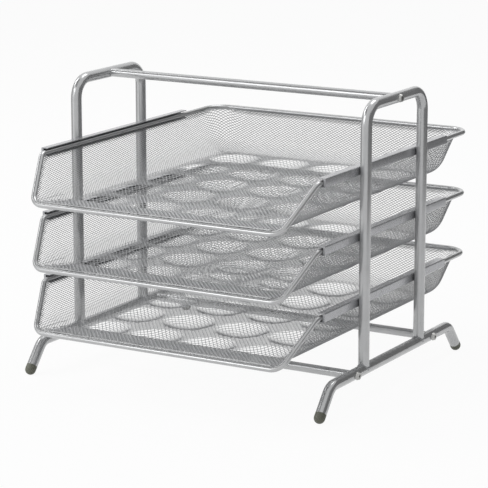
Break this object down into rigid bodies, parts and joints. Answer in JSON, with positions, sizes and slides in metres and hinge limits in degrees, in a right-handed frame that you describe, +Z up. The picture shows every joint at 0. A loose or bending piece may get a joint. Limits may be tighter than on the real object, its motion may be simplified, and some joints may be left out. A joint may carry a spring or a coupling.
{
  "type": "letter rack",
  "caption": "Desktop letter rack: two bent-tube side frames tied by crossbars carry stacked wire-rimmed mesh trays that slide forward in channel rails.",
  "frame": {"origin": "on the desk, under the middle of the whole rack at rest", "axes": "+X to the right of someone in front of the rack, +Y from its open front to its back, +Z up"},
  "size_m": [0.3168, 0.3488, 0.2682],
  "materials": {
    "frame": "silver metallic lacquer on steel tube",
    "rim": "silver metallic lacquer on steel wire",
    "mesh": "silver lacquer on fine expanded mesh",
    "foot_cap": "matt grey plastic",
    "screw": "bright zinc",
    "insert": "plain zinc"
  },
  "bodies": {
    "frame": {"left_arch_tube": "frame", "left_foot_tube": "frame", "left_bottom_rail": "frame", "left_middle_rail": "frame", "left_top_rail": "frame", "right_arch_tube": "frame", "right_foot_tube": "frame", "right_bottom_rail": "frame", "right_middle_rail": "frame", "right_top_rail": "frame", "foot_caps": "foot_cap", "top_crossbar": "frame", "front_crossbar": "frame", "rear_crossbar": "frame", "crossbar_inserts": "insert", "crossbar_screws": "screw"},
    "bottom_tray": {"bottom_tray_rim": "rim", "bottom_tray_basket": "mesh"},
    "middle_tray": {"middle_tray_rim": "rim", "middle_tray_basket": "mesh"},
    "top_tray": {"top_tray_rim": "rim", "top_tray_basket": "mesh"}
  },
  "joints": [
    {"name": "bottom_tray_slide", "type": "slide", "parent": "frame", "child": "bottom_tray", "axis": [0, -1, 0], "range_m": [0, 0.2]},
    {"name": "middle_tray_slide", "type": "slide", "parent": "frame", "child": "middle_tray", "axis": [0, -1, 0], "range_m": [0, 0.2]},
    {"name": "top_tray_slide", "type": "slide", "parent": "frame", "child": "top_tray", "axis": [0, -1, 0], "range_m": [0, 0.2]}
  ]
}
